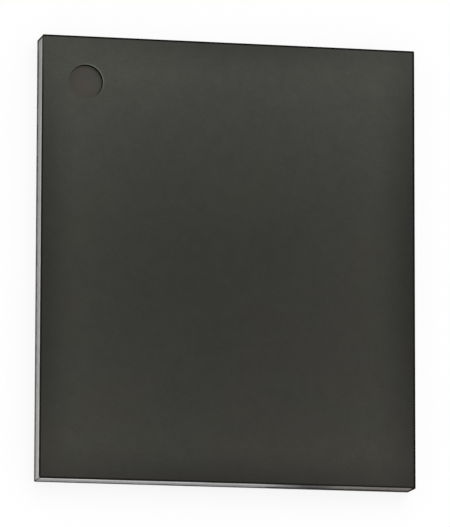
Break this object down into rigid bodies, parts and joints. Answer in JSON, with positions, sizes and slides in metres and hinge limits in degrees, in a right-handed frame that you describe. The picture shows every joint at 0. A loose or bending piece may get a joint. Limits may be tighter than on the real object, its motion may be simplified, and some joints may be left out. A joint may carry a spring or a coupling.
{
  "type": "dfn chip",
  "caption": "Flat rectangular chip package of dark moulding compound, with a round dimple in one corner of its face and metal solder lands underneath.",
  "frame": {"origin": "centre of the package at the plane of the solder faces", "axes": "+Z out of the marked face, +Y along the lead rows towards the end with pin 1, +X across the rows; pin 1 is at -X, +Y"},
  "size_m": [0.006, 0.007, 0.0005],
  "materials": {
    "moulding_compound": "satin",
    "tinned_copper": "satin",
    "adhesive": "matte",
    "silicon": "polished",
    "gold_wire": "polished"
  },
  "bodies": {
    "root": {"moulded_body": "moulding_compound", "exposed_pad": "tinned_copper", "die_adhesive": "adhesive", "silicon_die": "silicon", "lead_01": "tinned_copper", "lead_02": "tinned_copper", "lead_03": "tinned_copper", "lead_04": "tinned_copper", "lead_05": "tinned_copper", "lead_06": "tinned_copper", "lead_07": "tinned_copper", "lead_08": "tinned_copper", "lead_09": "tinned_copper", "lead_10": "tinned_copper", "lead_11": "tinned_copper", "lead_12": "tinned_copper", "lead_13": "tinned_copper", "lead_14": "tinned_copper", "lead_15": "tinned_copper", "lead_16": "tinned_copper", "lead_17": "tinned_copper", "lead_18": "tinned_copper", "lead_19": "tinned_copper", "lead_20": "tinned_copper", "lead_21": "tinned_copper", "lead_22": "tinned_copper", "lead_23": "tinned_copper", "lead_24": "tinned_copper", "bond_wire_01": "gold_wire", "bond_wire_02": "gold_wire", "bond_wire_03": "gold_wire", "bond_wire_04": "gold_wire", "bond_wire_05": "gold_wire", "bond_wire_06": "gold_wire", "bond_wire_07": "gold_wire", "bond_wire_08": "gold_wire", "bond_wire_09": "gold_wire", "bond_wire_10": "gold_wire", "bond_wire_11": "gold_wire", "bond_wire_12": "gold_wire", "bond_wire_13": "gold_wire", "bond_wire_14": "gold_wire", "bond_wire_15": "gold_wire", "bond_wire_16": "gold_wire", "bond_wire_17": "gold_wire", "bond_wire_18": "gold_wire", "bond_wire_19": "gold_wire", "bond_wire_20": "gold_wire", "bond_wire_21": "gold_wire", "bond_wire_22": "gold_wire", "bond_wire_23": "gold_wire", "bond_wire_24": "gold_wire"}
  },
  "joints": []
}
